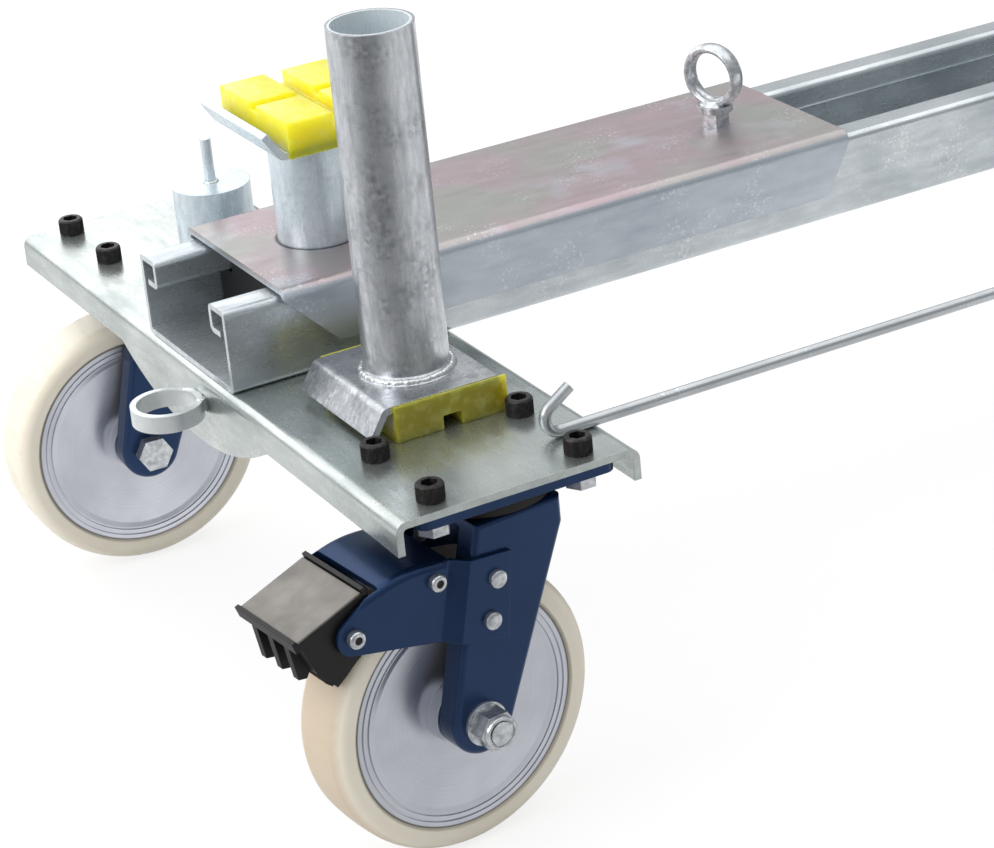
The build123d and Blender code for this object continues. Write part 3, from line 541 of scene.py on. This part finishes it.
PAD_HEIGHT = 20.5
PAD_ALONG, PAD_ACROSS = 41, 54  # half of its length and of its width over the lips
LIP_INSIDE = 51.3  # the lips reach past the plate's side edges
SUPPORT_SHEET = 5  # the plate's thickness, which the lips cover
MAIN_GROOVE, MAIN_FLOOR = 6.5, 11  # half its width, and the height of its floor
CROSS_GROOVE, CROSS_FLOOR = 5, 15.5
PAD_ROUNDING, PAD_ROUNDING_STEPS = 1.3, 4
PAD_SHIFT = 3.5  # pad's middle from the post's axis, along
SHORT_PLATE_TOP = 150  # over the end plate
PAD_CUTS = (
    (-PAD_ALONG, -MAIN_GROOVE, MAIN_GROOVE, PAD_ALONG),
    (-PAD_ACROSS, -LIP_INSIDE, -CROSS_GROOVE, CROSS_GROOVE, LIP_INSIDE, PAD_ACROSS),
    (-SUPPORT_SHEET, 0, MAIN_FLOOR, CROSS_FLOOR, PAD_HEIGHT),
)


def pad_has(x, y, z):
    """Whether the pad has material at a place between its cuts."""
    if z < 0:
        return abs(y) > LIP_INSIDE
    if abs(x) < MAIN_GROOVE:
        return z < MAIN_FLOOR
    return abs(y) > CROSS_GROOVE or z < CROSS_FLOOR


def cells_mesh(cuts, has_material):
    """Mesh of the filled cells between cutting planes in millimetres."""
    bm = bmesh.new()
    corners = {}

    def corner(index):
        if index not in corners:
            point = Vector([planes[step] for planes, step in zip(cuts, index)])
            corners[index] = bm.verts.new(point * MM)
        return corners[index]

    def filled(cell):
        if any(step < 0 or step >= len(planes) - 1 for planes, step in zip(cuts, cell)):
            return False
        return has_material(*[(planes[step] + planes[step + 1]) / 2 for planes, step in zip(cuts, cell)])

    cells = itertools.product(*[range(len(planes) - 1) for planes in cuts])
    for cell in filter(filled, cells):
        for axis, side in itertools.product(range(3), (0, 1)):
            neighbour = list(cell)
            neighbour[axis] += 2 * side - 1
            if filled(neighbour):
                continue
            loop = []
            for step_b, step_c in ((0, 0), (1, 0), (1, 1), (0, 1)):
                index = list(cell)
                index[axis] += side
                index[(axis + 1) % 3] += step_b
                index[(axis + 2) % 3] += step_c
                loop.append(corner(tuple(index)))
            bm.faces.new(loop)
    bmesh.ops.recalc_face_normals(bm, faces=bm.faces)
    bmesh.ops.dissolve_limit(bm, angle_limit=math.radians(1), verts=bm.verts, edges=bm.edges)
    return bm


def cast_pad(name, place):
    """A pad with rounded edges on its placing matrix."""
    bm = cells_mesh(PAD_CUTS, pad_has)
    bmesh.ops.bevel(
        bm, geom=bm.edges, offset=PAD_ROUNDING * MM, segments=PAD_ROUNDING_STEPS, profile=0.5,
        affect="EDGES", clamp_overlap=True)
    bmesh.ops.transform(bm, matrix=place, verts=bm.verts)
    return smooth(plain_mesh(name, bm), 60)


UPSIDE_DOWN = Matrix.Rotation(math.pi, 4, "X")
for end in ENDS:
    short_pad = end_place(end, SHORT_PLACE[0] + PAD_SHIFT, SHORT_PLACE[1], SHORT_PLATE_TOP)
    tall_pad = end_place(end, TALL_PLACE[0] + PAD_SHIFT, TALL_PLACE[1], PAD_HEIGHT) @ UPSIDE_DOWN
    for kind, material, place in (("short", YELLOW, short_pad), ("tall", SHADED_YELLOW, tall_pad)):
        name = f"cast_pad_{kind}_{end}"
        add_piece(name, cast_pad(name, place), material, f"{kind}_support_{end}",
                  [f"{kind}_pad_{end}"])


# Weld ripples along a path


def weld_tree():
    """Overlapping, uneven drops of weld metal along the draft's edges."""
    tree = new_tree("weld_ripples", {
        "Path": "Geometry", "Pitch": "Float", "Drop": "Float", "Wander": "Float", "Metal": "Material",
    }, "Weld")
    start = add(tree, "NodeGroupInput")
    path = add(tree, "GeometryNodeMeshToCurve", inputs={"Mesh": start.outputs["Path"]})
    points = add(tree, "GeometryNodeResampleCurve", {"mode": "LENGTH"}, {
        "Curve": path, "Length": start.outputs["Pitch"]})
    stray = add(tree, "FunctionNodeRandomValue", {"data_type": "FLOAT_VECTOR"}, {
        0: (-1, -1, -1), 1: (1, 1, 1), "Seed": 3})
    offset = add(tree, "ShaderNodeVectorMath", {"operation": "SCALE"}, {
        0: stray, "Scale": start.outputs["Wander"]})
    moved = add(tree, "GeometryNodeSetPosition", inputs={"Geometry": points, "Offset": offset})
    drop = add(tree, "GeometryNodeMeshIcoSphere", inputs={
        "Radius": start.outputs["Drop"], "Subdivisions": 3})
    tangent = add(tree, "GeometryNodeInputTangent")
    turn = add(tree, "FunctionNodeAlignRotationToVector", {"axis": "X"}, {"Vector": tangent})
    size = add(tree, "FunctionNodeRandomValue", {"data_type": "FLOAT_VECTOR"}, {
        0: (0.8, 0.85, 0.8), 1: (1.0, 1.05, 1.0), "Seed": 7})
    drops = add(tree, "GeometryNodeInstanceOnPoints", inputs={
        "Points": moved, "Instance": drop, "Rotation": turn, "Scale": size})
    solid = add(tree, "GeometryNodeRealizeInstances", inputs={0: drops})
    metal = add(tree, "GeometryNodeSetMaterial", inputs={
        "Geometry": solid, "Material": start.outputs["Metal"]})
    add(tree, "NodeGroupOutput", inputs={0: metal})
    return tree


WELD_TREE = weld_tree()
DROP_PITCH, DROP_WANDER = 0.4, 0.12  # shares of a drop's radius
RING_STEPS = 72


def weld_run(name, points, body, drop, closed=False):
    """Weld with drops of this radius in millimetres, through points of the shared frame."""
    path = bpy.data.meshes.new(name)
    edges = [(step, step + 1) for step in range(len(points) - 1)]
    if closed:
        edges.append((len(points) - 1, 0))
    path.from_pydata(points, edges, [])
    mesh = grown(name, path, WELD_TREE, {
        "Pitch": drop * DROP_PITCH * MM, "Drop": drop * MM, "Wander": drop * DROP_WANDER * MM,
        "Metal": WELD_METAL})
    add_piece(name, smooth(mesh, 180), WELD_METAL, body)


def weld_ring(name, place, radius, body, drop):
    """Weld round a post, on the placing matrix's XY plane."""
    angles = [2 * math.pi * step / RING_STEPS for step in range(RING_STEPS)]
    points = [place @ (Vector((math.cos(a), math.sin(a), 0)) * radius * MM) for a in angles]
    weld_run(name, points, body, drop, closed=True)


SPACER_PLACE, SPACER_HEIGHT, PEG_RADIUS = (1, 132), 74, 4
POST_DROP, PEG_DROP, TACK_DROP = 2.7, 1.3, 2.4  # radius of a weld's drops
POST_GAP, PEG_GAP = 1.2, 0.6  # from a post's or peg's side to the drops' middle
TALL_WELD = PAD_HEIGHT + SUPPORT_SHEET + 1.1  # heights of the rings over the end plate
SHORT_WELD = SHORT_PLATE_TOP - SUPPORT_SHEET - 1.4
PEG_WELD = SPACER_HEIGHT + 0.2
WELDS = (  # piece, middle of the ring in the end's frame, its radius, radius of the drops
    ("tall_support", (*TALL_PLACE, TALL_WELD), POST_RADIUS + POST_GAP, POST_DROP),
    ("short_support", (*SHORT_PLACE, SHORT_WELD), POST_RADIUS + POST_GAP, POST_DROP),
    ("spacer", (*SPACER_PLACE, PEG_WELD), PEG_RADIUS + PEG_GAP, PEG_DROP),
)
TOW_RING_ROOT = (-88, -17, -16.5)  # where the tow ring meets the plate's fold: along, across, up
TACK_GAP = 8  # from there to a tack's near end
TACK_REACH = (0, 2, 4)
for end in ENDS:
    for piece, middle, radius, drop in WELDS:
        weld_ring(f"weld_{piece}_{end}", end_place(end, *middle), radius, f"{piece}_{end}", drop)
    for side, side_name in ((-1, "near"), (1, "far")):
        along, across, up = TOW_RING_ROOT
        tack = [end_place(end, along - reach, across + side * (TACK_GAP + reach), up).to_translation()
                for reach in TACK_REACH]
        weld_run(f"weld_ring_{end}_{side_name}", tack, "frame", TACK_DROP)


# Knurled rims of the socket-head screws


def knurl_tree():
    """Upright ridges round a circle, on each point of the draft."""
    tree = new_tree("knurl_ridges", {
        "Heads": "Geometry", "Radius": "Float", "Ridges": "Int", "Ridge size": "Vector",
        "Steel": "Material",
    }, "Knurls")
    start = add(tree, "NodeGroupInput")
    circle = add(tree, "GeometryNodeMeshCircle", inputs={
        "Vertices": start.outputs["Ridges"], "Radius": start.outputs["Radius"]})
    ridge = add(tree, "GeometryNodeMeshCube", inputs={"Size": start.outputs["Ridge size"]})
    edge_out = add(tree, "GeometryNodeTransform", inputs={
        "Geometry": ridge, "Rotation": (0, 0, math.radians(45))})
    place = add(tree, "GeometryNodeInputPosition")
    turn = add(tree, "FunctionNodeAlignRotationToVector", {"axis": "X"}, {"Vector": place})
    rim = add(tree, "GeometryNodeInstanceOnPoints", inputs={
        "Points": circle, "Instance": edge_out, "Rotation": turn})
    heads = add(tree, "GeometryNodeInstanceOnPoints", inputs={
        "Points": start.outputs["Heads"], "Instance": rim})
    solid = add(tree, "GeometryNodeRealizeInstances", inputs={0: heads})
    steel = add(tree, "GeometryNodeSetMaterial", inputs={
        "Geometry": solid, "Material": start.outputs["Steel"]})
    add(tree, "NodeGroupOutput", inputs={0: steel})
    return tree


SCREW_ALONG, SCREW_ACROSS = 52.5, 37.5  # half the castor's hole pattern
HEAD_RADIUS, HEAD_HEIGHT = 9.0, 12.0
RIDGES, RIDGE_WIDTH = 54, 0.45
RIDGE_SHORTER = 2.4  # than the head
RIDGE_LOWER = 0.5  # than the head's middle
heads = bpy.data.meshes.new("screw_heads")
heads.from_pydata([
    end_place(end, along, middle + across, HEAD_HEIGHT / 2 - RIDGE_LOWER).to_translation()
    for end in ENDS for middle in CASTOR_Y.values()
    for along in (-SCREW_ALONG, SCREW_ALONG) for across in (-SCREW_ACROSS, SCREW_ACROSS)
], [], [])
knurls = grown("screw_knurls", heads, knurl_tree(), {
    "Radius": HEAD_RADIUS * MM, "Ridges": RIDGES, "Steel": BLACK_OXIDE,
    "Ridge size": (RIDGE_WIDTH * MM, RIDGE_WIDTH * MM, (HEAD_HEIGHT - RIDGE_SHORTER) * MM)})
add_piece("screw_knurls", knurls, BLACK_OXIDE, "frame")


# Small turned pieces on the castors, from profiles of radii and heights

SEAL = ((44.5, -16.4), (46.8, -16.4), (46.8, -7.2), (45.9, -6.2), (44.5, -6.2))
COLLAR = ((8.3, 0), (11.6, 0), (11.6, 1.5), (10.9, 2.6), (9.4, 2.6), (9.0, 1.9), (8.3, 1.9))
DOME = ((0.1, 0), (6, 0), (5.2, 0.8), (3.4, 1.4), (1.6, 1.6), (0.1, 1.65))
BUTTON = ((2.7, 0), (5.75, 0), (5.5, 0.7), (4.6, 1.3), (3.4, 1.5), (2.7, 1.2))
SOCKET_FLOOR = ((0.1, 0), (2.65, 0), (2.65, 0.25), (0.1, 0.25))
SEAL_STEPS, SMALL_STEPS = 72, 32
NUT_OUTSIDE = 61.5  # castor's middle plane to the lock nut's outer face
NUT_SIDE = {"braked": -1, "plain": 1}
RIVETS = ((-24.7, -55.0), (-31.4, -82.0))  # along and up in the castor's frame
RIVET_OUTSIDE = 51
BRAKE_BOLTS = ((-125.0, -63.0), (-63.0, -47.0))  # pedal's pin and cross bolt
BOLT_OUTSIDE = 42.5


def both_sides(end, holes, outside):
    """Places on both outer faces of a braked castor, facing outwards."""
    return [castor_place(end, "braked", along, side * outside, up) @ facing(side)
            for along, up in holes for side in (-1, 1)]


seals = [end_place(end, 0, across, -PLATE_SHEET) for end in ENDS for across in CASTOR_Y.values()]
add_piece("swivel_seals", turned("swivel_seals", SEAL, seals, SEAL_STEPS), BRAKE_RUBBER, "frame")
for end in ENDS:
    for kind, side in NUT_SIDE.items():
        name = f"lock_collar_{end}_{kind}"
        place = castor_place(end, kind, -TRAIL, side * NUT_OUTSIDE, AXLE_UP) @ facing(side)
        collar = turned(name, COLLAR, [place])
        add_piece(name, collar, FASTENER_ZINC, f"castor_{end}_{kind}")
    rivets = both_sides(end, RIVETS, RIVET_OUTSIDE)
    bolts = both_sides(end, BRAKE_BOLTS, BOLT_OUTSIDE)
    body = f"castor_{end}_braked"
    for name, profile, places, material, slot in (
        ("rivet_domes", DOME, rivets, FASTENER_ZINC, "bright_zinc"),
        ("button_heads", BUTTON, bolts, FASTENER_ZINC, "bright_zinc"),
        ("socket_floors", SOCKET_FLOOR, bolts, BLACK_OXIDE, "black_oxide_steel"),
    ):
        add_piece(f"{name}_{end}", turned(name, profile, places, SMALL_STEPS), material, body)


# Floor, light and camera, in metres

DARK_ROOM = (-1.9, -1.5, 0)  # middle of the unlit room in front of the object, on the floor
FLOOR_HALF = 15.0
FLOOR_DROP = 0.001  # below the wheels
BRIGHT_SIDE = (-0.2, 0.25, 0.95)  # up and a little behind the object
SOFTBOXES = (  # name, place, what it points at, width and height, watts
    ("back", (-1.1, 2.6, 1.4), (-0.8, 0, 0.3), (3.2, 1.4), 20),
    ("left", (-3.0, -0.2, 1.5), (-0.7, 0, 0.2), (1.6, 1.6), 29),
    ("top", (-0.5, 0.4, 3.0), (-0.5, 0, 0.3), (6.0, 5.0), 100),
)
CAMERA_PLACE = (-1.49045, -1.86661, 1.09714)
CAMERA_AZIMUTH = math.radians(26.63)  # from +Y towards +X
CAMERA_DOWN = math.radians(24.58)
CAMERA_TILT = math.radians(5.58)  # to the right
CAMERA_LENS, CAMERA_SENSOR = 113.93, 36.0  # millimetres


def studio_floor():
    """Pale floor that reads white, takes the soft shadow and mirrors darker towards the room."""
    material, tree = new_material("pale_studio_floor")
    path = add(tree, "ShaderNodeLightPath")
    place = add(tree, "ShaderNodeTexCoord").outputs["Object"]
    away = add(tree, "ShaderNodeVectorMath", {"operation": "DISTANCE"}, {
        0: place, 1: DARK_ROOM}).outputs["Value"]
    looked_at = add(tree, "ShaderNodeMath", {"operation": "MAXIMUM"}, {
        0: path.outputs["Is Camera Ray"], 1: path.outputs["Is Transmission Ray"]})
    mirrored = path.outputs["Is Glossy Ray"]
    share = add(tree, "ShaderNodeMath", {"operation": "MULTIPLY_ADD"}, {
        0: looked_at, 1: 0.7, 2: mirrored})
    loss = add(tree, "ShaderNodeMapRange", inputs={
        "Value": away, "From Min": 0.7, "From Max": 2.1, "To Min": -0.95, "To Max": -0.1})
    strength = add(tree, "ShaderNodeMath", {"operation": "MULTIPLY_ADD"}, {
        0: mirrored, 1: loss, 2: 1.15})
    white = add(tree, "ShaderNodeEmission", inputs={"Strength": strength})
    matt = add(tree, "ShaderNodeBsdfDiffuse", inputs={"Color": linear("#D6D6D5")})
    mix = add(tree, "ShaderNodeMixShader", inputs={0: share, 1: matt, 2: white})
    add(tree, "ShaderNodeOutputMaterial", inputs={"Surface": mix})
    mesh = bpy.data.meshes.new("studio_floor")
    corners = ((-1, -1), (1, -1), (1, 1), (-1, 1))
    mesh.from_pydata(
        [(x * FLOOR_HALF, y * FLOOR_HALF, -FLOOR_DROP) for x, y in corners], [], [(0, 1, 2, 3)])
    mesh.materials.append(material)
    floor = bpy.data.objects.new("studio_floor", mesh)
    bpy.context.scene.collection.objects.link(floor)


def studio_world():
    """Soft room light: bright above and behind the object, darker on the camera's side."""
    world = bpy.data.worlds.new("studio")
    bpy.context.scene.world = world
    world.use_nodes = True
    tree = world.node_tree
    tree.nodes.clear()
    direction = add(tree, "ShaderNodeTexCoord").outputs["Generated"]
    towards = add(tree, "ShaderNodeVectorMath", {"operation": "DOT_PRODUCT"}, {
        0: direction, 1: BRIGHT_SIDE}).outputs["Value"]
    brightness = add(tree, "ShaderNodeMapRange", inputs={
        "Value": towards, "From Min": -0.4, "From Max": 1.0})
    colour = layered(tree, "#8C9197", (brightness, "#F2F3F3"))
    glow = add(tree, "ShaderNodeBackground", inputs={"Color": colour, "Strength": 0.85})
    add(tree, "ShaderNodeOutputWorld", inputs={"Surface": glow})


def softbox(name, place, target, size, power):
    """Rectangular soft lamp that points at its target."""
    lamp = bpy.data.lights.new(name, "AREA")
    lamp.shape = "RECTANGLE"
    lamp.size, lamp.size_y = size
    lamp.energy = power
    holder = bpy.data.objects.new(name, lamp)
    holder.location = place
    holder.rotation_mode = "QUATERNION"
    holder.rotation_quaternion = (Vector(target) - Vector(place)).to_track_quat("-Z", "Y")
    bpy.context.scene.collection.objects.link(holder)


def photo_camera():
    """Camera of the photograph: a long lens, looking down along the rail, tilted a little."""
    forward = Vector((
        math.sin(CAMERA_AZIMUTH) * math.cos(CAMERA_DOWN),
        math.cos(CAMERA_AZIMUTH) * math.cos(CAMERA_DOWN),
        -math.sin(CAMERA_DOWN),
    ))
    level = forward.to_track_quat("-Z", "Y")
    data = bpy.data.cameras.new("photo_camera")
    data.sensor_fit = "HORIZONTAL"
    data.sensor_width = CAMERA_SENSOR
    data.lens = CAMERA_LENS
    camera = bpy.data.objects.new("photo_camera", data)
    camera.rotation_mode = "QUATERNION"
    camera.rotation_quaternion = level @ Matrix.Rotation(-CAMERA_TILT, 3, "Z").to_quaternion()
    camera.location = CAMERA_PLACE
    bpy.context.scene.collection.objects.link(camera)
    bpy.context.scene.camera = camera


studio_floor()
studio_world()
for lamp_sizes in SOFTBOXES:
    softbox(*lamp_sizes)
photo_camera()
bpy.context.scene.view_settings.view_transform = "Standard"
